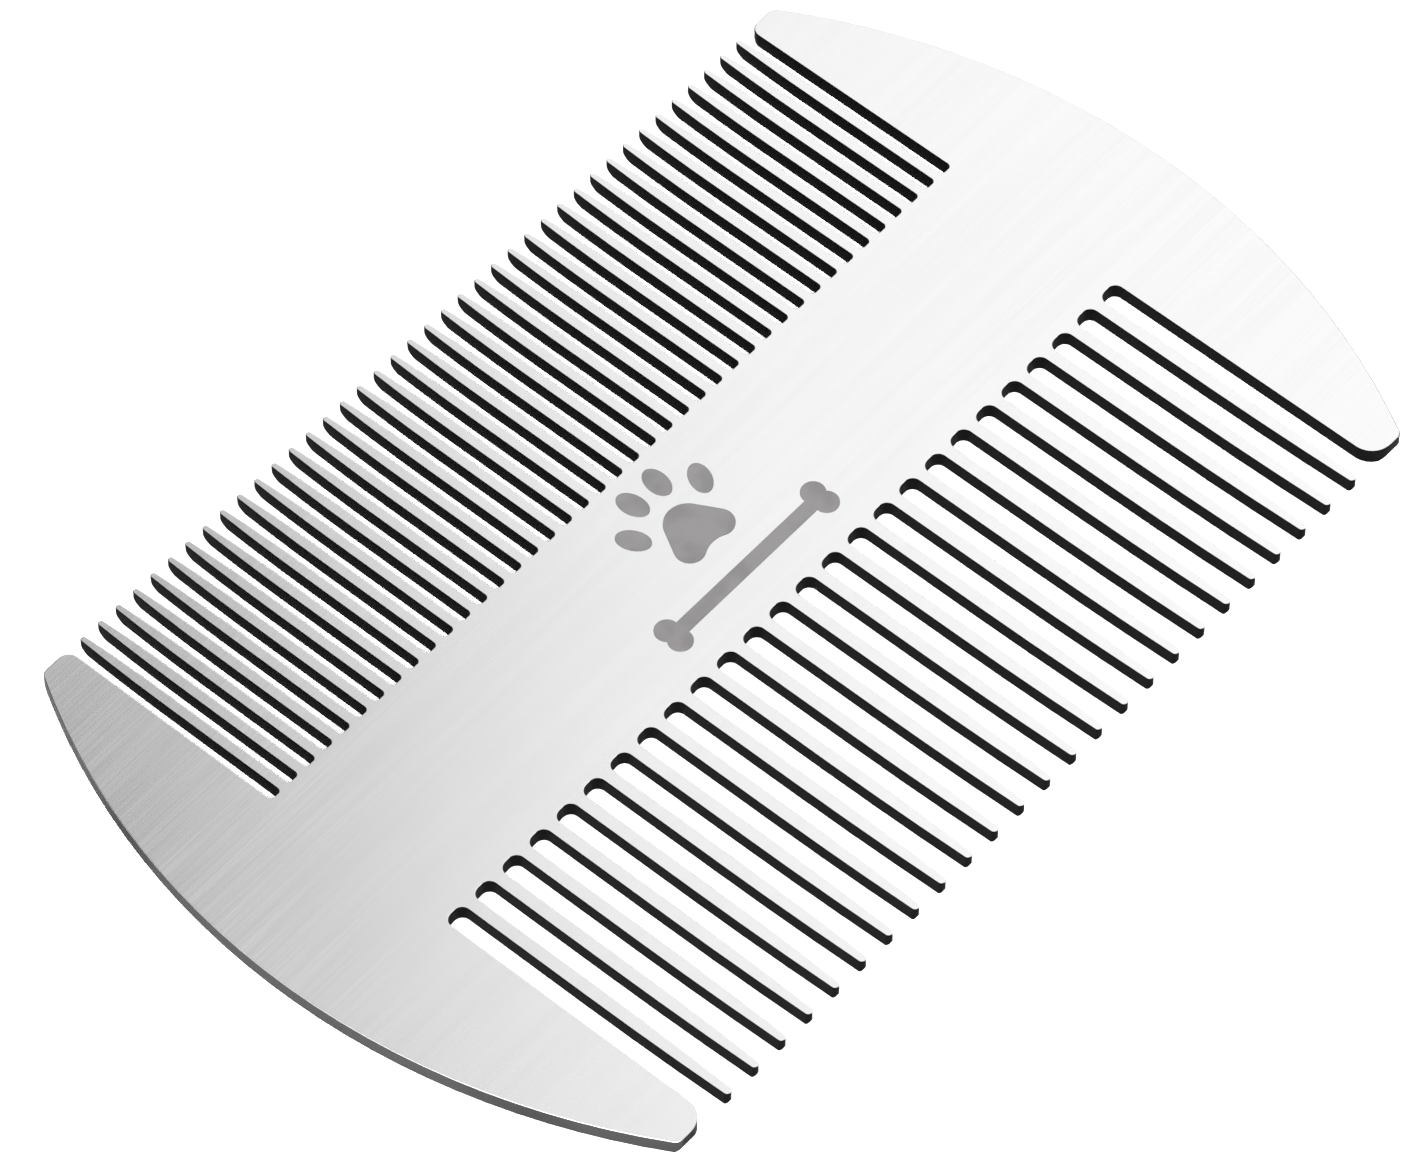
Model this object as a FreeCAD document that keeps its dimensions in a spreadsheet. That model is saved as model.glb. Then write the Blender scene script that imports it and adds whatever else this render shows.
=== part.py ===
import FreeCAD, Part
import math
import os
import Sketcher

# Double-sided flea comb: one flat plate of stainless steel, with a row of close teeth along one long
# edge, a row of wide-set teeth along the other, a plain bar between them and two bowed solid ends that
# guard the outermost teeth. A printed mark, a paw above a bone, lies on the bar.
#
# Millimetres. X runs along the comb, +Y towards the fine teeth, +Z up. The comb lies on its underside:
# the origin is under the middle of the plate, at Z = 0.

SIZES = [
    ("plate_length", "104.8", "over the two bowed ends"),
    ("plate_width", "65.4", "from the fine tips to the coarse tips"),
    ("plate_thickness", "1.5", "sheet thickness"),
    ("end_arc_radius", "64", "bow of each end"),
    ("outer_corner_radius", "0.8", "where a bowed end meets the line of the tips"),
    ("edge_break", "0.08", "tumbled rounding round both faces"),
    ("nose_margin", "0.02", "how far a nose's arc stands clear of the tips and of the underside"),
    ("overcut", "2", "how far a slot's cutter runs past the tips"),
    ("fine_pitch", "2", "from tooth to tooth, fine row"),
    ("fine_slots", "41", "slots in the fine row"),
    ("fine_gap", "1.08", "width of a fine slot at its root"),
    ("fine_tooth_length", "21.4", "root to tip"),
    ("fine_straight_length", "12.6", "root to the start of the taper"),
    ("fine_taper_radius", "190", "flank of the taper"),
    ("fine_tip_radius", "0.26", "rounding of a tooth's tip"),
    ("fine_root_radius", "0.36", "corners of a slot's root"),
    ("fine_guard_radius", "1", "inner corner of a solid end"),
    ("fine_nose_radius", "1.4", "rounding under the tips, through the thickness"),
    ("coarse_pitch", "3.13", "from tooth to tooth, coarse row"),
    ("coarse_slots", "26", "slots in the coarse row"),
    ("coarse_gap", "1.96", "width of a coarse slot at its root"),
    ("coarse_tooth_length", "26.6", "root to tip"),
    ("coarse_straight_length", "12.6", "root to the start of the taper"),
    ("coarse_taper_radius", "400", "flank of the taper"),
    ("coarse_tip_radius", "0.36", "rounding of a tooth's tip"),
    ("coarse_root_radius", "0.75", "corners of a slot's root"),
    ("coarse_guard_radius", "2", "inner corner of a solid end"),
    ("coarse_nose_radius", "0.7", "rounding under the tips, through the thickness"),
    ("mark_thickness", "0.05", "cured ink film"),
    ("pad_crown_radius", "2", "paw's main pad: crown"),
    ("pad_crown_height", "4.1", "centre of the crown, along Y"),
    ("pad_lobe_radius", "1.3", "each lower lobe"),
    ("pad_lobe_offset", "1.75", "a lobe's centre from the middle line"),
    ("pad_lobe_drop", "1.7", "a lobe's centre below the crown's"),
    ("pad_foot_radius", "2.4", "hollow between the lobes"),
    ("toe_length", "3", "long axis of a toe pad"),
    ("toe_breadth", "1.9", "short axis of a toe pad"),
    ("inner_toe_offset", "1.45", "an inner toe's centre from the middle line"),
    ("inner_toe_height", "8.6", "along Y"),
    ("inner_toe_tilt", "8", "degrees from upright"),
    ("outer_toe_offset", "4", "an outer toe's centre from the middle line"),
    ("outer_toe_height", "6.3", "along Y"),
    ("outer_toe_tilt", "26", "degrees from upright"),
    ("bone_length", "19.6", "over the knobs"),
    ("bone_height", "-2", "the bone's middle line, along Y"),
    ("bone_knob_radius", "1.05", "each of the four knobs"),
    ("bone_knob_offset", "0.7", "a knob's centre from the middle line"),
    ("bone_shaft", "1.3", "breadth of the shaft"),
]
START, END, CENTRE = 1, 2, 3  # a sketch line's or arc's own points
ORIGIN = (-1, 1)  # a sketch's own origin, as a point that constraints refer to
X_AXIS, Y_AXIS = -1, -2  # a sketch's own axes
SIDE_WORDS = {-1: "left", 1: "right"}
NEGLIGIBLE = 0.01  # a length that counts as none
UP = FreeCAD.Vector(0, 0, 1)

doc = FreeCAD.newDocument("flea_comb")


def make_sheet():
    """Write the driving dimensions and return them as numbers by alias."""
    sheet = doc.addObject("Spreadsheet::Sheet", "sizes")
    for row, (alias, value, meaning) in enumerate(SIZES, start=1):
        sheet.set(f"A{row}", alias)
        sheet.set(f"B{row}", value)
        sheet.set(f"C{row}", meaning)
        sheet.setAlias(f"B{row}", alias)
    doc.recompute()
    return {alias: float(value) for alias, value, _ in SIZES}


size = make_sheet()


def origin_plane(body, role):
    return next(plane for plane in body.Origin.OriginFeatures if plane.Role == role)


class Chain:
    """Closed chains of lines and arcs in a sketch on a plane of its body, sized by the sheet."""

    def __init__(self, body, name, turn=0, plane="XY_Plane"):
        self.sketch = body.newObject("Sketcher::SketchObject", name)
        self.sketch.AttachmentSupport = (origin_plane(body, plane), [""])
        self.sketch.MapMode = "FlatFace"
        self.sketch.AttachmentOffset = FreeCAD.Placement(
            FreeCAD.Vector(0, 0, 0), FreeCAD.Rotation(UP, turn)
        )

    def line(self, start, end):
        segment = Part.LineSegment(FreeCAD.Vector(*start, 0), FreeCAD.Vector(*end, 0))
        return self.sketch.addGeometry(segment, False)

    def arc(self, centre, radius, from_degrees, to_degrees):
        """An arc, drawn anticlockwise from one angle to the other."""
        circle = Part.Circle(FreeCAD.Vector(*centre, 0), UP, radius)
        angles = math.radians(from_degrees), math.radians(to_degrees)
        return self.sketch.addGeometry(Part.ArcOfCircle(circle, *angles), False)

    def flank_arc(self, side, centre, radius, low, high):
        """An arc in one side of a slot, as (arc, the point at its root end, the one at its tip end).

        The angles are for the slot's right side, and side -1 draws the mirror image of that.
        """
        if side > 0:
            return self.arc(centre, radius, low, high), END, START
        return self.arc(centre, radius, 180 - high, 180 - low), START, END

    def rule(self, kind, *where):
        self.sketch.addConstraint(Sketcher.Constraint(kind, *where))

    def driven(self, kind, where, name, expression, value):
        """A dimension that follows an expression on the sheet; value is what it starts at."""
        index = self.sketch.addConstraint(Sketcher.Constraint(kind, *where, value))
        self.sketch.renameConstraint(index, name)
        self.sketch.setExpression(f"Constraints.{name}", expression)


def cut(body, name, chain):
    """Cut a chain's outline through the whole plate."""
    pocket = body.newObject("PartDesign::Pocket", name)
    pocket.Profile = chain.sketch
    pocket.Type = "ThroughAll"
    pocket.Reversed = True
    return pocket


def new_body(label):
    """An empty body whose label names its piece."""
    body = doc.addObject("PartDesign::Body", label)
    body.Label = label
    return body


def tooth_flank(chain, row, side, slot_x, root_y):
    """Draw one side of a slot as a tooth's flank: straight, then bowed in to a round tip.

    side is 1 for the slot's right side and -1 for its left. Returns the flank's pieces from root to
    tip, each with its root end and its tip end, and then the place where the flank reaches the tips.
    """
    wall_x = slot_x + side * size[f"{row}_gap"] / 2
    taper_y = root_y + size[f"{row}_straight_length"]
    taper, tip = size[f"{row}_taper_radius"], size[f"{row}_tip_radius"]
    corner = size[f"{row}_root_radius"]
    tip_y = size["plate_width"] / 2 - tip
    # The tip's circle lies inside the taper's and touches it, so their centres are taper - tip apart.
    rise, reach = tip_y - taper_y, taper - tip
    swing = math.degrees(math.asin(rise / reach))
    tip_x = wall_x + side * (taper - math.sqrt(reach**2 - rise**2))
    straight = chain.line((wall_x, root_y + corner), (wall_x, taper_y))
    bowed = chain.flank_arc(side, (wall_x + side * taper, taper_y), taper, 180 - swing, 180)
    rounded = chain.flank_arc(side, (tip_x, tip_y), tip, 90, 180 - swing)
    chain.rule("Vertical", straight)
    chain.rule("Tangent", straight, END, bowed[0], bowed[1])
    chain.rule("Tangent", bowed[0], bowed[2], rounded[0], rounded[1])
    word = SIDE_WORDS[side]
    chain.driven("Radius", (bowed[0],), f"{word}_taper", f"sizes.{row}_taper_radius", taper)
    chain.driven("Radius", (rounded[0],), f"{word}_tip", f"sizes.{row}_tip_radius", tip)
    chain.driven(
        "DistanceY",
        (straight, START, straight, END),
        f"{word}_straight",
        f"sizes.{row}_straight_length - sizes.{row}_root_radius",
        size[f"{row}_straight_length"] - corner,
    )
    return [(straight, START, END), bowed, rounded], (tip_x, tip_y + tip)


def guard_flank(chain, row, side, slot_x, root_y):
    """Draw one side of a slot as the inner edge of a solid end: straight, then one round corner."""
    wall_x = slot_x + side * size[f"{row}_gap"] / 2
    guard = size[f"{row}_guard_radius"]
    centre = (wall_x + side * guard, size["plate_width"] / 2 - guard)
    straight = chain.line((wall_x, root_y + size[f"{row}_root_radius"]), (wall_x, centre[1]))
    rounded = chain.flank_arc(side, centre, guard, 90, 180)
    chain.rule("Vertical", straight)
    chain.rule("Tangent", straight, END, rounded[0], rounded[1])
    name = f"{SIDE_WORDS[side]}_guard"
    chain.driven("Radius", (rounded[0],), name, f"sizes.{row}_guard_radius", guard)
    return [(straight, START, END), rounded], (centre[0], centre[1] + guard)


def slot_outline(body, name, row, turn, left_flank, right_flank):
    """Sketch the cutter of one slot: the one beside the plate's left end, or else the one next to it.

    The sketch is drawn with the slot's mouth up; turn is 180 for the row whose tips point to -Y,
    so that this row's left end is on the sketch's right.
    """
    chain = Chain(body, name, turn)
    gap, corner = size[f"{row}_gap"], size[f"{row}_root_radius"]
    way = 1 if turn == 0 else -1
    place = 0 if guard_flank in (left_flank, right_flank) else 1
    slot_x = way * (place - (size[f"{row}_slots"] - 1) / 2) * size[f"{row}_pitch"]
    root_y = size["plate_width"] / 2 - size[f"{row}_tooth_length"]
    over_y = size["plate_width"] / 2 + size["overcut"]
    left, left_top = left_flank(chain, row, -1, slot_x, root_y)
    right, right_top = right_flank(chain, row, 1, slot_x, root_y)
    root = chain.line((slot_x - gap / 2 + corner, root_y), (slot_x + gap / 2 - corner, root_y))
    corners = [
        chain.arc((slot_x - gap / 2 + corner, root_y + corner), corner, 180, 270),
        chain.arc((slot_x + gap / 2 - corner, root_y + corner), corner, 270, 360),
    ]
    left_rise = chain.line(left_top, (left_top[0], over_y))
    right_rise = chain.line(right_top, (right_top[0], over_y))
    lid = chain.line((left_top[0], over_y), (right_top[0], over_y))

    chain.rule("Horizontal", root)
    chain.rule("Tangent", root, START, corners[0], END)
    chain.rule("Tangent", root, END, corners[1], START)
    chain.rule("Tangent", left[0][0], START, corners[0], START)
    chain.rule("Tangent", right[0][0], START, corners[1], END)
    chain.rule("Equal", corners[0], corners[1])
    for flank, rise, lid_end in ((left, left_rise, START), (right, right_rise, END)):
        rounded, _, top = flank[-1]
        chain.rule("Coincident", rounded, top, rise, START)
        chain.rule("Vertical", rounded, CENTRE, rounded, top)
        chain.rule("Vertical", rise)
        chain.rule("Coincident", rise, END, lid, lid_end)
    chain.rule("Horizontal", lid)
    chain.rule("Horizontal", left[-1][0], left[-1][2], right[-1][0], right[-1][2])

    chain.driven("Radius", (corners[0],), "root_corner", f"sizes.{row}_root_radius", corner)
    chain.driven(
        "DistanceX", (left[0][0], START, right[0][0], START), "gap", f"sizes.{row}_gap", gap
    )
    outermost = (left[0][0], START, *ORIGIN) if way > 0 else (*ORIGIN, right[0][0], START)
    chain.driven(
        "DistanceX",
        outermost,
        "from_middle",
        f"((sizes.{row}_slots - 1) / 2 - {place}) * sizes.{row}_pitch + sizes.{row}_gap / 2",
        gap / 2 + abs(slot_x),
    )
    chain.driven(
        "DistanceY",
        (*ORIGIN, root, START),
        "root_height",
        f"sizes.plate_width / 2 - sizes.{row}_tooth_length",
        root_y,
    )
    chain.driven(
        "DistanceY",
        (*ORIGIN, right_rise, START),
        "tip_height",
        "sizes.plate_width / 2",
        size["plate_width"] / 2,
    )
    chain.driven(
        "DistanceY", (right_rise, START, right_rise, END), "overcut", "sizes.overcut", size["overcut"]
    )
    return chain


def extrude(body, name, chain, thickness):
    """Pad a chain's outline upwards by a thickness on the sheet."""
    pad = body.newObject("PartDesign::Pad", name)
    pad.Profile = chain.sketch
    pad.setExpression("Length", f"sizes.{thickness}")
    return pad


def mirror(body, name, feature=None):
    """Repeat a feature, or the whole body, on the other side of the YZ plane."""
    mirrored = body.newObject("PartDesign::Mirrored", name)
    if feature:
        mirrored.Originals = [feature]
    else:
        mirrored.TransformMode = "Whole shape"
    mirrored.MirrorPlane = (origin_plane(body, "YZ_Plane"), [""])
    body.Tip = mirrored
    return mirrored


def blank_outline(body):
    """Sketch the left half of the sheet before its slots are cut: two lines of tips and a bowed end."""
    chain = Chain(body, "blank_outline")
    half_width, bow = size["plate_width"] / 2, size["end_arc_radius"]
    centre_x = bow - size["plate_length"] / 2
    corner_x = centre_x - math.sqrt(bow**2 - half_width**2)
    swing = math.degrees(math.asin(half_width / bow))
    top = chain.line((corner_x, half_width), (0, half_width))
    middle = chain.line((0, half_width), (0, -half_width))
    bottom = chain.line((0, -half_width), (corner_x, -half_width))
    end = chain.arc((centre_x, 0), bow, 180 - swing, 180 + swing)
    chain.rule("Coincident", top, END, middle, START)
    chain.rule("Coincident", middle, END, bottom, START)
    chain.rule("Coincident", bottom, END, end, END)
    chain.rule("Coincident", end, START, top, START)
    chain.rule("Horizontal", top)
    chain.rule("Horizontal", bottom)
    chain.rule("PointOnObject", middle, START, Y_AXIS)
    chain.rule("PointOnObject", middle, END, Y_AXIS)
    chain.rule("PointOnObject", end, CENTRE, X_AXIS)
    chain.rule("Symmetric", end, START, end, END, X_AXIS)
    chain.driven("Radius", (end,), "bow", "sizes.end_arc_radius", bow)
    chain.driven(
        "DistanceY", (middle, END, middle, START), "width", "sizes.plate_width", 2 * half_width
    )
    chain.driven(
        "DistanceX",
        (*ORIGIN, end, CENTRE),
        "bow_centre",
        "sizes.end_arc_radius - sizes.plate_length / 2",
        centre_x,
    )
    return chain


def volume_of(body):
    """Recompute, and measure the body as it now is."""
    doc.recompute()
    return body.Shape.Volume


def cut_row(body, row, turn):
    """Cut the left half of a row: a pattern of slots between teeth, and the one beside the end.

    A row with an odd number of slots has one on the middle line, whose cutter is half in the air.
    """
    whole = volume_of(body)
    outline = slot_outline(body, f"{row}_slot_outline", row, turn, tooth_flank, tooth_flank)
    slot = cut(body, f"{row}_slot", outline)
    one = whole - volume_of(body)
    pattern = body.newObject("PartDesign::LinearPattern", f"{row}_slots")
    pattern.Originals = [slot]
    pattern.Direction = (outline.sketch, ["H_Axis"])
    pattern.Reversed = turn != 0
    pattern.Mode = "Spacing"
    pattern.setExpression("Offset", f"sizes.{row}_pitch")
    pattern.setExpression("Occurrences", f"floor((sizes.{row}_slots - 1) / 2)")
    body.Tip = pattern
    between_teeth = whole - volume_of(body)
    expected = (size[f"{row}_slots"] / 2 - 1) * one
    print(f"{row} row: slots between teeth take {between_teeth:.3f} of {expected:.3f} mm3")
    if one <= 0 or abs(between_teeth - expected) > 0.001 * expected:
        raise RuntimeError(f"the {row} row's slots aren't all cut")
    flanks = (guard_flank, tooth_flank) if turn == 0 else (tooth_flank, guard_flank)
    outline = slot_outline(body, f"{row}_end_slot_outline", row, turn, *flanks)
    cut(body, f"{row}_end_slot", outline)
    if volume_of(body) >= whole - between_teeth - one / 2:
        raise RuntimeError(f"the {row} row's end slot isn't cut")


def is_upright(box):
    """Whether an edge with this bounding box runs from one face of the plate to the other."""
    return max(box.XLength, box.YLength) < NEGLIGIBLE


def is_level(box):
    """Whether an edge with this bounding box lies in one face of the plate."""
    return box.ZLength < NEGLIGIBLE


def round_edges(body, name, radius, is_wanted):
    """Fillet the body's edges of one kind, apart from those on the YZ plane, where it is mirrored."""
    base = body.Tip
    boxes = [edge.BoundBox for edge in base.Shape.Edges]
    edges = [
        f"Edge{number}"
        for number, box in enumerate(boxes, start=1)
        if is_wanted(box) and box.XMin < -NEGLIGIBLE
    ]
    fillet = body.newObject("PartDesign::Fillet", name)
    fillet.Base = (base, edges)
    fillet.setExpression("Radius", f"sizes.{radius}")


def nose_outline(body):
    """Sketch, in the plate's cross-section, what is rounded off under the tips of both rows."""
    chain = Chain(body, "nose_outline", plane="YZ_Plane")
    half_width, margin = size["plate_width"] / 2, size["nose_margin"]
    over_y = half_width + size["overcut"]
    for row, way in (("fine", 1), ("coarse", -1)):
        nose = size[f"{row}_nose_radius"]
        centre_y, centre_z = half_width + margin - nose, nose - margin
        start, end = (-90, 0) if way > 0 else (180, 270)
        low, high = (START, END) if way > 0 else (END, START)
        arc = chain.arc((way * centre_y, centre_z), nose, start, end)
        floor = chain.line((way * centre_y, -margin), (way * over_y, -margin))
        wall = chain.line((way * over_y, -margin), (way * over_y, centre_z))
        ledge = chain.line((way * over_y, centre_z), (way * (half_width + margin), centre_z))
        chain.rule("Tangent", arc, low, floor, START)
        chain.rule("Coincident", floor, END, wall, START)
        chain.rule("Coincident", wall, END, ledge, START)
        chain.rule("Perpendicular", arc, high, ledge, END)
        chain.rule("Horizontal", floor)
        chain.rule("Vertical", wall)
        chain.rule("Horizontal", ledge)
        radius, reach = f"sizes.{row}_nose_radius", "sizes.plate_width / 2"
        centre = (*ORIGIN, arc, CENTRE) if way > 0 else (arc, CENTRE, *ORIGIN)
        limit = (*ORIGIN, wall, START) if way > 0 else (wall, START, *ORIGIN)
        chain.driven("Radius", (arc,), f"{row}_radius", radius, nose)
        chain.driven(
            "DistanceY",
            (*ORIGIN, arc, CENTRE),
            f"{row}_height",
            f"{radius} - sizes.nose_margin",
            centre_z,
        )
        chain.driven(
            "DistanceX",
            centre,
            f"{row}_centre",
            f"{reach} + sizes.nose_margin - {radius}",
            centre_y,
        )
        chain.driven("DistanceX", limit, f"{row}_overcut", f"{reach} + sizes.overcut", over_y)
    return chain


def round_tips(body):
    """Round off the underside of both rows of tips, on the plate's left half."""
    whole = volume_of(body)
    nose = body.newObject("PartDesign::Pocket", "tip_noses")
    nose.Profile = nose_outline(body).sketch
    nose.Type = "ThroughAll"
    if not volume_of(body) < whole - NEGLIGIBLE:
        raise RuntimeError("the tips were not rounded")


def make_plate():
    """The plate's left half, with its slots and rounded edges, and then its mirror image."""
    body = new_body("comb_plate")
    extrude(body, "blank", blank_outline(body), "plate_thickness")
    doc.recompute()
    round_edges(body, "outer_corners", "outer_corner_radius", is_upright)
    cut_row(body, "fine", 0)
    cut_row(body, "coarse", 180)
    round_edges(body, "edge_break", "edge_break", is_level)
    round_tips(body)
    half = volume_of(body)
    mirror(body, "both_halves")
    if abs(volume_of(body) - 2 * half) > 0.001 * half:
        raise RuntimeError("the plate's two halves don't add up")
    return body


def paw_pad_outline(body):
    """Sketch the main pad: a crown and two lobes joined by straight sides, hollow at the foot."""
    chain = Chain(body, "main_pad_outline")
    crown, lobe, hollow = (size[f"pad_{part}_radius"] for part in ("crown", "lobe", "foot"))
    crown_y, lobe_x, drop = (
        size[f"pad_{what}"] for what in ("crown_height", "lobe_offset", "lobe_drop")
    )
    lobe_y = crown_y - drop
    # A straight side touches crown and lobe, so its normal meets both circles at the same angle.
    lean = math.acos((crown - lobe) / math.hypot(lobe_x, drop)) - math.atan2(drop, lobe_x)
    swing = math.degrees(math.asin(lobe_x / (hollow + lobe)))
    hollow_y = lobe_y - math.sqrt((hollow + lobe) ** 2 - lobe_x**2)

    def side(way):
        foot_of_crown = (way * crown * math.cos(lean), crown_y + crown * math.sin(lean))
        top_of_lobe = (way * (lobe_x + lobe * math.cos(lean)), lobe_y + lobe * math.sin(lean))
        return chain.line(foot_of_crown, top_of_lobe)

    lean_degrees = math.degrees(lean)
    top = chain.arc((0, crown_y), crown, lean_degrees, 180 - lean_degrees)
    right_side, left_side = side(1), side(-1)
    right_lobe = chain.arc((lobe_x, lobe_y), lobe, 270 - swing, 360 + lean_degrees)
    left_lobe = chain.arc((-lobe_x, lobe_y), lobe, 180 - lean_degrees, 270 + swing)
    foot = chain.arc((0, hollow_y), hollow, 90 - swing, 90 + swing)
    chain.rule("Tangent", top, START, right_side, START)
    chain.rule("Tangent", top, END, left_side, START)
    chain.rule("Tangent", right_side, END, right_lobe, END)
    chain.rule("Tangent", left_side, END, left_lobe, START)
    chain.rule("Tangent", right_lobe, START, foot, START)
    chain.rule("Tangent", left_lobe, END, foot, END)
    chain.rule("Equal", right_lobe, left_lobe)
    chain.rule("PointOnObject", top, CENTRE, Y_AXIS)
    chain.rule("Symmetric", right_lobe, CENTRE, left_lobe, CENTRE, Y_AXIS)
    chain.driven("Radius", (top,), "crown", "sizes.pad_crown_radius", crown)
    chain.driven("Radius", (right_lobe,), "lobe", "sizes.pad_lobe_radius", lobe)
    chain.driven("Radius", (foot,), "foot", "sizes.pad_foot_radius", hollow)
    chain.driven(
        "DistanceX",
        (left_lobe, CENTRE, right_lobe, CENTRE),
        "between_lobes",
        "2 * sizes.pad_lobe_offset",
        2 * lobe_x,
    )
    chain.driven(
        "DistanceY", (right_lobe, CENTRE, top, CENTRE), "drop", "sizes.pad_lobe_drop", drop
    )
    chain.driven(
        "DistanceY", (*ORIGIN, top, CENTRE), "height", "sizes.pad_crown_height", crown_y
    )
    return chain


def toe_outline(body, toe):
    """Sketch the right-hand one of a pair of toe pads, an ellipse that leans outwards."""
    chain = Chain(body, f"{toe}_toe_outline")
    length, breadth = size["toe_length"], size["toe_breadth"]
    tilt = size[f"{toe}_toe_tilt"]
    centre = FreeCAD.Vector(size[f"{toe}_toe_offset"], size[f"{toe}_toe_height"], 0)
    turn = FreeCAD.Rotation(UP, 90 - tilt)
    long_end = centre + turn.multVec(FreeCAD.Vector(length / 2, 0, 0))
    short_end = centre + turn.multVec(FreeCAD.Vector(0, breadth / 2, 0))
    ellipse = chain.sketch.addGeometry(Part.Ellipse(long_end, short_end, centre), False)
    chain.sketch.exposeInternalGeometry(ellipse)
    long_axis, short_axis = ellipse + 1, ellipse + 2
    chain.driven("Distance", (long_axis,), "length", "sizes.toe_length", length)
    chain.driven("Distance", (short_axis,), "breadth", "sizes.toe_breadth", breadth)
    chain.driven(
        "DistanceX", (*ORIGIN, ellipse, CENTRE), "offset", f"sizes.{toe}_toe_offset", centre.x
    )
    chain.driven(
        "DistanceY", (*ORIGIN, ellipse, CENTRE), "height", f"sizes.{toe}_toe_height", centre.y
    )
    chain.driven(
        "Angle", (long_axis,), "lean", f"(90 - sizes.{toe}_toe_tilt) * 1 deg", math.radians(90 - tilt)
    )
    return chain


def make_paw():
    """The paw: a main pad and four toe pads, five separate patches of ink on the upper face."""
    body = new_body("paw_mark")
    body.AllowCompound = True
    extrude(body, "main_pad", paw_pad_outline(body), "mark_thickness")
    for toe in ("inner", "outer"):
        pad = extrude(body, f"{toe}_toe", toe_outline(body, toe), "mark_thickness")
        doc.recompute()
        mirror(body, f"{toe}_toes", pad)
    body.setExpression("Placement.Base.z", "sizes.plate_thickness")
    return body


def make_bone():
    """The bone below the paw: a straight shaft with two knobs at each end."""
    body = new_body("bone_mark")
    chain = Chain(body, "bone_outline")
    knob, offset = size["bone_knob_radius"], size["bone_knob_offset"]
    half_shaft, middle_y = size["bone_shaft"] / 2, size["bone_height"]
    knob_x = size["bone_length"] / 2 - knob
    shaft_x = knob_x - math.sqrt(knob**2 - (offset - half_shaft) ** 2)
    notch = math.degrees(math.asin(offset / knob))
    neck = math.degrees(math.asin((offset - half_shaft) / knob))
    upper = chain.line((-shaft_x, middle_y + half_shaft), (shaft_x, middle_y + half_shaft))
    lower = chain.line((-shaft_x, middle_y - half_shaft), (shaft_x, middle_y - half_shaft))
    upper_right = chain.arc((knob_x, middle_y + offset), knob, -notch, 180 + neck)
    lower_right = chain.arc((knob_x, middle_y - offset), knob, 180 - neck, 360 + notch)
    upper_left = chain.arc((-knob_x, middle_y + offset), knob, -neck, 180 + notch)
    lower_left = chain.arc((-knob_x, middle_y - offset), knob, 180 - notch, 360 + neck)
    chain.rule("Coincident", upper, END, upper_right, END)
    chain.rule("Coincident", lower, END, lower_right, START)
    chain.rule("Coincident", upper, START, upper_left, START)
    chain.rule("Coincident", lower, START, lower_left, END)
    chain.rule("Coincident", upper_right, START, lower_right, END)
    chain.rule("Coincident", upper_left, END, lower_left, START)
    for arc in (lower_right, upper_left, lower_left):
        chain.rule("Equal", upper_right, arc)
    for start, end in ((upper_left, upper_right), (lower_left, lower_right)):
        chain.rule("Symmetric", start, CENTRE, end, CENTRE, Y_AXIS)
    chain.rule("Vertical", upper_right, CENTRE, lower_right, CENTRE)
    for line in (upper, lower):
        chain.rule("Horizontal", line)
    chain.driven("Radius", (upper_right,), "knob", "sizes.bone_knob_radius", knob)
    chain.driven(
        "DistanceX",
        (upper_left, CENTRE, upper_right, CENTRE),
        "between_knobs",
        "sizes.bone_length - 2 * sizes.bone_knob_radius",
        2 * knob_x,
    )
    chain.driven(
        "DistanceY",
        (lower_right, CENTRE, upper_right, CENTRE),
        "across_knobs",
        "2 * sizes.bone_knob_offset",
        2 * offset,
    )
    chain.driven("DistanceY", (lower, END, upper, END), "shaft", "sizes.bone_shaft", 2 * half_shaft)
    chain.driven(
        "DistanceY",
        (*ORIGIN, upper, END),
        "shaft_height",
        "sizes.bone_height + sizes.bone_shaft / 2",
        middle_y + half_shaft,
    )
    chain.driven(
        "DistanceY",
        (*ORIGIN, upper_right, CENTRE),
        "knob_height",
        "sizes.bone_height + sizes.bone_knob_offset",
        middle_y + offset,
    )
    extrude(body, "bone", chain, "mark_thickness")
    body.setExpression("Placement.Base.z", "sizes.plate_thickness")
    return body


def write_parts(bodies):
    """Check every object, then write each piece to a STEP file named after it."""
    doc.recompute()
    failed = [o.Name for o in doc.Objects if {"Invalid", "Error"} & set(o.State)]
    loose = [
        o.Name
        for o in doc.Objects
        if o.TypeId == "Sketcher::SketchObject" and not o.FullyConstrained
    ]
    broken = [b.Label for b in bodies if b.Shape.isNull() or not b.Shape.isValid()]
    if failed or loose or broken:
        raise RuntimeError(f"failed: {failed}, not constrained: {loose}, broken: {broken}")
    os.makedirs("parts", exist_ok=True)
    for body in bodies:
        body.Shape.exportStep(f"parts/{body.Label}.step")
        solids, volume = len(body.Shape.Solids), body.Shape.Volume
        print(f"{body.Label}: {solids} solids, {volume:.2f} mm3")


write_parts([make_plate(), make_paw(), make_bone()])
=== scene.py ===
import math

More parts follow.
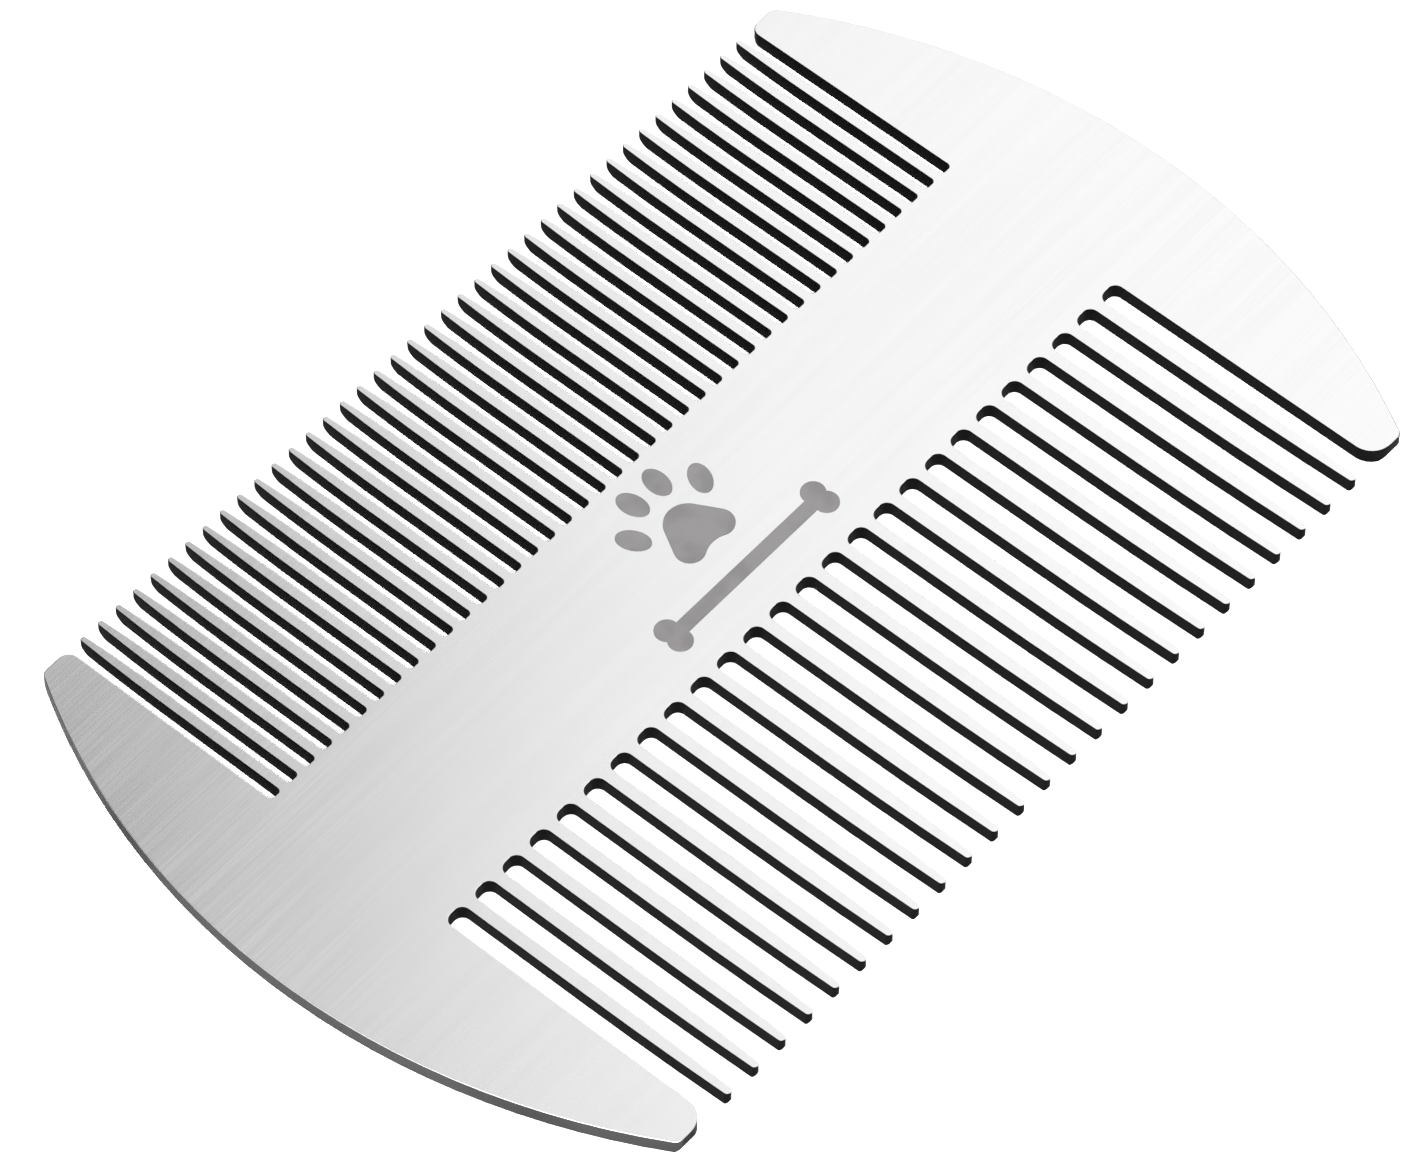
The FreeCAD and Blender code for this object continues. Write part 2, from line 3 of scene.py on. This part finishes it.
import bpy
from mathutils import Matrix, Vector


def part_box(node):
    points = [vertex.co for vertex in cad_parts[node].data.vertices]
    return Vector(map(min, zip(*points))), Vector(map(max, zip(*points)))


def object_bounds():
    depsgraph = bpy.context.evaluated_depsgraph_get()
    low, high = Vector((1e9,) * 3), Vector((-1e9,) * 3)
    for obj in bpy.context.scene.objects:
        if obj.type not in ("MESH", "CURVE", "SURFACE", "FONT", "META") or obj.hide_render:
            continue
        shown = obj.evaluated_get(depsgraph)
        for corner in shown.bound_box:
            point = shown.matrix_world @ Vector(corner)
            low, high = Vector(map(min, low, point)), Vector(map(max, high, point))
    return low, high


# A double-sided steel flea comb, lying on a pale floor under soft studio light. Metres, in the frame of
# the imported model: X along the comb, +Y towards the fine teeth, +Z up.

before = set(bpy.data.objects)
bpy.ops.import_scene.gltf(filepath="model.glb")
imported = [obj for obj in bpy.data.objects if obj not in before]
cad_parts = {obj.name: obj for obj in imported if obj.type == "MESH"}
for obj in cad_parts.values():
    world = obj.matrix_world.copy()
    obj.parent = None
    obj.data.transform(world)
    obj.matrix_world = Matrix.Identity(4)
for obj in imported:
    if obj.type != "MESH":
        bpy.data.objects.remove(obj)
cad_low, cad_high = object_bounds()
MM = 0.001

PLATE_LOW, PLATE_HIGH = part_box("comb_plate")
FACE_Z = PLATE_HIGH.z
CENTRE = (PLATE_LOW + PLATE_HIGH) / 2

# The camera's place round the comb, and the point on the comb's face that it looks at. The lens and the
# sensor are in millimetres.
AZIMUTH = math.radians(-49.1)
ELEVATION = math.radians(54.95)
DISTANCE = 749 * MM
LENS = 246.4
SENSOR_WIDTH = 36.0
LOOK_AT = Vector((CENTRE.x - 3.6 * MM, CENTRE.y - 0.4 * MM, FACE_Z))

# Steel, ink and floor tones, as linear reflectance.
FACE_TONE = (0.66, 0.66, 0.665)
# The ends' edges keep a steel tone towards -X and -Y and are painted dark elsewhere, as painted shade.
LIT_SIDE_EDGE_TONE = (0.60, 0.60, 0.605)
PAINTED_SHADE_EDGE_TONE = (0.05, 0.05, 0.051)
# The ends' bowed walls are painted shade too, lighter than the slots', going at random between these two
# dark tones.
OUTER_SHADE_DARK_TONE = (0.021, 0.021, 0.0215)
OUTER_SHADE_PALE_TONE = (0.046, 0.046, 0.047)
# The slots' walls are painted near black, as shade, far darker than bare steel.
SLOT_WALL_SHADE_TONE = (0.0022, 0.0022, 0.0023)
INK_TONE = (0.0955, 0.0915, 0.0935)
THIN_INK_TONE = tuple(1.2 * channel for channel in INK_TONE)
FLOOR_TONE = (0.86, 0.86, 0.86)
WHITE = (1.0, 1.0, 1.0)

# The solid ends start between these shares of the plate's half length.
END_RANGE = 0.78, 0.80

# Between which values of flatness each part of the steel sets in. A level surface has a flatness of 1
# and an upright one has 0.
FACE_RANGE = 0.96, 0.995
UPRIGHT_RANGE = 0.3, 0.1
# Where the painted shade on the slots' and on the ends' walls sets in.
SLOT_WALL_RANGE = 0.99, 0.95
BOWED_WALL_RANGE = 0.70, 0.60
# A slot's wall is painted near black as shade; on a wall that looks right that painted shade starts lower,
# as if it were flatter by this much.
RIGHT_SHADE_LIFT = 0.3

# Noise scales along X, Y and Z, in cycles per metre. The grain and its streaks run along the comb, and
# the striae that cutting left run up and down its walls.
GRAIN_SCALE = (70, 5200, 70)
STREAK_SCALE = (12, 700, 12)
STRIA_SCALE = (5000, 5000, 250)
CLOUD_SCALE = 45.0
INK_SPECKLE_SCALE, INK_CLOUD_SCALE = 6000.0, 400.0

# What the noises do to the finish: a share of the tone, an amount of roughness, and a height.
GRAIN_TINT = 0.98, 1.02
STREAK_TINT = 0.985, 1.01
FACE_ROUGHNESS = 0.22, 0.26
GRAIN_ROUGHNESS = -0.02, 0.02
EDGE_ROUGHNESS = 0.45
INK_ROUGHNESS = 0.55, 0.7
FACE_BUMP, WALL_BUMP, INK_BUMP = 0.10, 0.25, 0.2
STEEL_RELIEF, INK_RELIEF = 0.004 * MM, 0.01 * MM

# The studio's walls reach up to one elevation, and its ceiling starts at another. A dull panel hangs
# where the camera sees the ceiling mirrored in the comb's face, and fades out between two angles.
WALL_TOP, CEILING_START = math.radians(26), math.radians(42)
WALL_LIGHT, CEILING_LIGHT, PANEL_LIGHT = 1.0, 0.80, 0.42
PANEL_FULL, PANEL_END = math.radians(15), math.radians(30)

# The key is a soft box across the comb from the camera. The fill is a wide lamp behind the camera.
KEY_DISTANCE = 0.6
KEY_WIDTH, KEY_HEIGHT = 0.5, 0.7
KEY_WATTS = 1.12
KEY_SIDEWAYS = 0.20
FILL_SPREAD = math.radians(34)
FILL_STRENGTH = 7.2

FLOOR_HALF = 2.5
FLOOR_GAP = 0.02 * MM


def direction(azimuth, elevation):
    """The unit vector from the comb towards a place at this azimuth and elevation."""
    level = math.cos(elevation)
    return Vector((math.sin(azimuth) * level, -math.cos(azimuth) * level, math.sin(elevation)))


def rgba(tone):
    return (*tone, 1.0)


# The full names of sockets whose names have more than one word.
SOCKETS = {"Base_Color": "Base Color", "Specular": "Specular IOR Level"}


class Nodes:
    """A material's or a world's node tree, built one node at a time."""

    def __init__(self, owner):
        owner.use_nodes = True
        self.tree = owner.node_tree
        self.tree.nodes.clear()

    def add(self, kind, settings=None, **sockets):
        """A node with these settings; a socket is given a number, a colour or another node's output."""
        made = self.tree.nodes.new(kind)
        for name, value in (settings or {}).items():
            setattr(made, name, value)
        for name, value in sockets.items():
            self.feed(made.inputs[SOCKETS.get(name, name)], value)
        return made

    def feed(self, socket, value):
        if isinstance(value, bpy.types.NodeSocket):
            self.tree.links.new(value, socket)
        else:
            socket.default_value = value

    def math(self, operation, first, second=0.0):
        made = self.add("ShaderNodeMath", {"operation": operation})
        self.feed(made.inputs[0], first)
        self.feed(made.inputs[1], second)
        return made.outputs[0]

    def ramp(self, value, low, high, to_low=0.0, to_high=1.0):
        """Ease from one number to another as value goes from low to high."""
        made = self.add("ShaderNodeMapRange", {"interpolation_type": "SMOOTHSTEP"}, Value=value)
        for name, number in zip(("From Min", "From Max", "To Min", "To Max"), (low, high, to_low, to_high)):
            made.inputs[name].default_value = number
        return made.outputs["Result"]

    def blend(self, factor, first, second):
        """Go from one number to another by the factor."""
        made = self.add("ShaderNodeMix", {"data_type": "FLOAT"})
        self.feed(made.inputs["Factor"], factor)
        self.feed(made.inputs[2], first)
        self.feed(made.inputs[3], second)
        return made.outputs[0]

    def mix(self, factor, first, second, blend_type="MIX"):
        """Go from one colour to another by the factor."""
        made = self.add("ShaderNodeMix", {"data_type": "RGBA", "blend_type": blend_type})
        self.feed(made.inputs["Factor"], factor)
        self.feed(made.inputs[6], first)
        self.feed(made.inputs[7], second)
        return made.outputs[2]

    def noise(self, vector, scale, detail=2.0, roughness=0.5):
        made = self.add("ShaderNodeTexNoise", Vector=vector, Scale=scale, Detail=detail, Roughness=roughness)
        return made.outputs["Fac"]

    def stretched(self, vector, scale):
        """The coordinates, scaled by a different amount along each axis."""
        made = self.add("ShaderNodeMapping", Vector=vector)
        made.inputs["Scale"].default_value = scale
        return made.outputs["Vector"]

    def split(self, vector):
        """The vector's X, Y and Z."""
        return self.add("ShaderNodeSeparateXYZ", Vector=vector).outputs


class SteelMasks:
    """Where the steel is a face, an edge or a cut wall, and where its painted shade goes, told from the way
    its surface faces.
    """

    def __init__(self, n, place):
        normal = n.split(n.add("ShaderNodeNewGeometry").outputs["True Normal"])
        along = n.split(place)["X"]
        self.flatness = n.math("ABSOLUTE", normal["Z"])
        self.is_face = n.ramp(self.flatness, *FACE_RANGE)
        self.is_upright = n.ramp(self.flatness, *UPRIGHT_RANGE)
        self.is_end = n.ramp(n.math("ABSOLUTE", along), *(PLATE_HIGH.x * share for share in END_RANGE))

        # An end's bowed wall is painted a lighter shade than a slot's, as if lit, and goes at random between
        # two dark tones. The left end's tips share that lighter painted shade; the right end's tips keep the
        # slots' near black, as painted shade.
        side = n.math("SIGN", along)
        outward = n.math("MULTIPLY", normal["X"], side)
        turned_out_to_light = n.ramp(n.math("SUBTRACT", outward, n.math("MULTIPLY", side, 0.3)), 0.2, 0.5)
        self.is_lit_outer_wall = n.math("MULTIPLY", self.is_end, turned_out_to_light)

        # A slot's wall is painted near black as shade. That painted shade starts at the face where the wall
        # looks left, and lower where it looks right.
        raised = n.math("ADD", self.flatness, n.ramp(normal["X"], -0.1, 0.1, 0.0, RIGHT_SHADE_LIFT))
        slot_wall_shade = n.ramp(raised, *SLOT_WALL_RANGE)
        bowed_wall = n.ramp(self.flatness, *BOWED_WALL_RANGE)
        self.is_wall = n.blend(self.is_lit_outer_wall, slot_wall_shade, bowed_wall)

        # The edges of the ends keep a bright steel tone towards -X and -Y, the side of the camera and the
        # fill, and are painted dark on the other sides: painted shade, a dark reflection painted on.
        turned_to_lit_side = n.math("MULTIPLY", n.math("ADD", normal["X"], normal["Y"]), -1.0)
        self.is_lit_side_edge = n.ramp(turned_to_lit_side, 0.25, 0.45)


def steel_material():
    """Satin stainless steel with brushed faces, painted shade on the ends' edges that face away from -X and
    -Y, and cut walls painted dark as shade.
    """
    material = bpy.data.materials.new("satin_steel")
    n = Nodes(material)
    place = n.add("ShaderNodeTexCoord").outputs["Object"]
    masks = SteelMasks(n, place)
    grain = n.noise(n.stretched(place, GRAIN_SCALE), 1.0, 3.0, 0.6)
    streaks = n.noise(n.stretched(place, STREAK_SCALE), 1.0)
    striae = n.noise(n.stretched(place, STRIA_SCALE), 1.0)
    cloud = n.noise(place, CLOUD_SCALE, 3.0)

    outer_wall_shade = n.mix(n.ramp(cloud, 0.4, 0.6), rgba(OUTER_SHADE_DARK_TONE), rgba(OUTER_SHADE_PALE_TONE))
    wall = n.mix(masks.is_lit_outer_wall, rgba(SLOT_WALL_SHADE_TONE), outer_wall_shade)
    end_edge_painted_shade = n.mix(masks.is_lit_side_edge, rgba(PAINTED_SHADE_EDGE_TONE), rgba(LIT_SIDE_EDGE_TONE))
    edge = n.mix(masks.is_end, rgba(FACE_TONE), end_edge_painted_shade)
    body = n.mix(masks.is_face, edge, rgba(FACE_TONE))
    tone = n.mix(masks.is_wall, body, wall)
    grain_tint = n.ramp(grain, 0.25, 0.75, *GRAIN_TINT)
    streak_tint = n.ramp(streaks, 0.3, 0.7, *STREAK_TINT)
    tint = n.math("MULTIPLY", grain_tint, streak_tint)

    cloudy_gloss = n.ramp(cloud, 0.3, 0.7, *FACE_ROUGHNESS)
    face_gloss = n.math("ADD", cloudy_gloss, n.ramp(grain, 0.3, 0.7, *GRAIN_ROUGHNESS))
    relief = n.blend(masks.is_upright, grain, striae)
    face_depth = n.math("MULTIPLY", masks.is_face, FACE_BUMP)
    depth = n.math("ADD", face_depth, n.math("MULTIPLY", masks.is_upright, WALL_BUMP))
    bump = n.add("ShaderNodeBump", Strength=depth, Distance=STEEL_RELIEF, Height=relief)

    shader = n.add(
        "ShaderNodeBsdfPrincipled",
        Base_Color=n.mix(1.0, tone, tint, "MULTIPLY"),
        Metallic=n.math("SUBTRACT", 1.0, masks.is_wall),
        Specular=0.01,
        Roughness=n.blend(masks.is_face, EDGE_ROUGHNESS, face_gloss),
        Normal=bump.outputs["Normal"],
    )
    n.add("ShaderNodeOutputMaterial", Surface=shader.outputs["BSDF"])
    return material


def ink_material():
    """Matt grey print, a little uneven where the ink is thin."""
    material = bpy.data.materials.new("grey_print")
    n = Nodes(material)
    place = n.add("ShaderNodeTexCoord").outputs["Object"]
    speckle = n.noise(place, INK_SPECKLE_SCALE)
    cloud = n.noise(place, INK_CLOUD_SCALE)
    bump = n.add("ShaderNodeBump", Strength=INK_BUMP, Distance=INK_RELIEF, Height=speckle)
    shader = n.add(
        "ShaderNodeBsdfPrincipled",
        Base_Color=n.mix(n.ramp(cloud, 0.35, 0.65), rgba(INK_TONE), rgba(THIN_INK_TONE)),
        Metallic=0.0,
        Specular=0.2,
        Roughness=n.ramp(speckle, 0.3, 0.7, *INK_ROUGHNESS),
        Normal=bump.outputs["Normal"],
    )
    n.add("ShaderNodeOutputMaterial", Surface=shader.outputs["BSDF"])
    return material


def paint(node, material):
    """Give a CAD node a finish in place of its plain one."""
    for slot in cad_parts[node].material_slots:
        slot.material = material


def place_in_scene(name, data, location, towards):
    """A camera or a lamp at this location, with its back to this direction."""
    made = bpy.data.objects.new(name, data)
    made.location = location
    made.rotation_mode = "QUATERNION"
    made.rotation_quaternion = towards.to_track_quat("Z", "Y")
    bpy.context.scene.collection.objects.link(made)
    return made


def make_floor():
    corners = [(x * FLOOR_HALF, y * FLOOR_HALF, 0) for x, y in ((-1, -1), (1, -1), (1, 1), (-1, 1))]
    mesh = bpy.data.meshes.new("floor")
    mesh.from_pydata(corners, [], [(0, 1, 2, 3)])
    floor = bpy.data.objects.new("floor", mesh)
    floor.location.z = cad_low.z - FLOOR_GAP
    bpy.context.scene.collection.objects.link(floor)
    material = bpy.data.materials.new("pale_floor")
    n = Nodes(material)
    shader = n.add("ShaderNodeBsdfPrincipled", Base_Color=rgba(FLOOR_TONE), Roughness=0.9, Specular=0.2)
    n.add("ShaderNodeOutputMaterial", Surface=shader.outputs["BSDF"])
    mesh.materials.append(material)


def make_world():
    """Pale studio walls, white at the horizon, under a duller ceiling with its dull panel."""
    world = bpy.data.worlds.new("studio")
    n = Nodes(world)
    facing = n.add("ShaderNodeTexCoord").outputs["Generated"]
    is_ceiling = n.ramp(n.split(facing)["Z"], math.sin(WALL_TOP), math.sin(CEILING_START))
    aim = n.add("ShaderNodeVectorMath", {"operation": "DOT_PRODUCT"})
    n.feed(aim.inputs[0], facing)
    n.feed(aim.inputs[1], direction(AZIMUTH + math.pi, ELEVATION))
    is_panel = n.ramp(aim.outputs["Value"], math.cos(PANEL_END), math.cos(PANEL_FULL))
    level = n.blend(is_ceiling, WALL_LIGHT, n.blend(is_panel, CEILING_LIGHT, PANEL_LIGHT))
    background = n.add("ShaderNodeBackground", Color=rgba(WHITE), Strength=level)
    n.add("ShaderNodeOutputWorld", Surface=background.outputs["Background"])
    bpy.context.scene.world = world


def make_key():
    """The soft box that the camera sees mirrored in the comb's face, set off to the picture's right."""
    light = bpy.data.lights.new("key", "AREA")
    light.shape = "RECTANGLE"
    light.size, light.size_y = KEY_WIDTH, KEY_HEIGHT
    light.energy = KEY_WATTS
    towards = direction(AZIMUTH + math.pi, ELEVATION)
    picture_right = Vector((math.cos(AZIMUTH), math.sin(AZIMUTH), 0))
    location = LOOK_AT + towards * KEY_DISTANCE + picture_right * KEY_SIDEWAYS
    lamp = place_in_scene("key", light, location, towards)
    lamp.visible_camera = False


def make_fill():
    """A wide distant lamp behind the camera, so the floor between the teeth is lit as far as it shows."""
    light = bpy.data.lights.new("fill", "SUN")
    light.angle = FILL_SPREAD
    light.energy = FILL_STRENGTH
    towards = direction(AZIMUTH, ELEVATION)
    place_in_scene("fill", light, LOOK_AT + towards, towards)


def make_camera():
    data = bpy.data.cameras.new("camera")
    data.lens = LENS
    data.sensor_width = SENSOR_WIDTH
    data.clip_start, data.clip_end = 0.01, 20.0
    towards = direction(AZIMUTH, ELEVATION)
    bpy.context.scene.camera = place_in_scene("camera", data, LOOK_AT + towards * DISTANCE, towards)


paint("comb_plate", steel_material())
ink = ink_material()
for mark in ("paw_mark", "bone_mark"):
    paint(mark, ink)
make_floor()
make_world()
make_key()
make_fill()
make_camera()
bpy.context.scene.view_settings.view_transform = "Standard"
